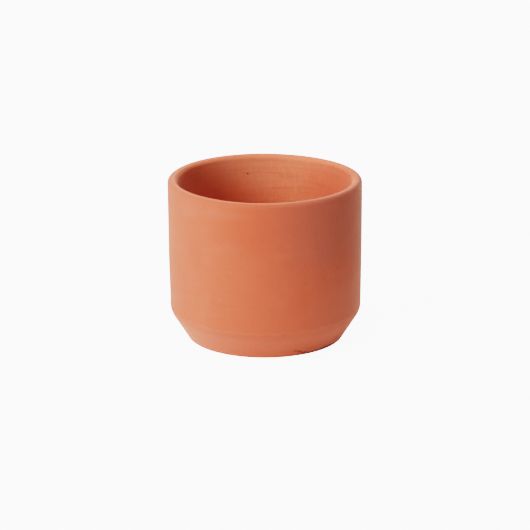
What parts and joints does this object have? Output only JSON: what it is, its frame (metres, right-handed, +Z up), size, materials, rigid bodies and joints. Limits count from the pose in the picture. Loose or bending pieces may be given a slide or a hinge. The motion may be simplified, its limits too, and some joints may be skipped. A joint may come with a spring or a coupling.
{
  "type": "terracotta plant pot",
  "caption": "Unglazed terracotta plant pot with nearly upright walls, a rounded level lip, a chamfered base, a drainage hole and small rubber foot pads.",
  "frame": {"origin": "on the pot's axis, at the height of the surface it stands on", "axes": "+Z up along the pot's axis, from the foot pads to the lip; the pot is round, so -Y is only called the front"},
  "size_m": [0.14, 0.14, 0.1183],
  "materials": {
    "terracotta": "matte",
    "rubber": "matte"
  },
  "bodies": {
    "root": {"pot_body": "terracotta", "foot_pad_front_right": "rubber", "foot_pad_back_right": "rubber", "foot_pad_back_left": "rubber", "foot_pad_front_left": "rubber"}
  },
  "joints": []
}
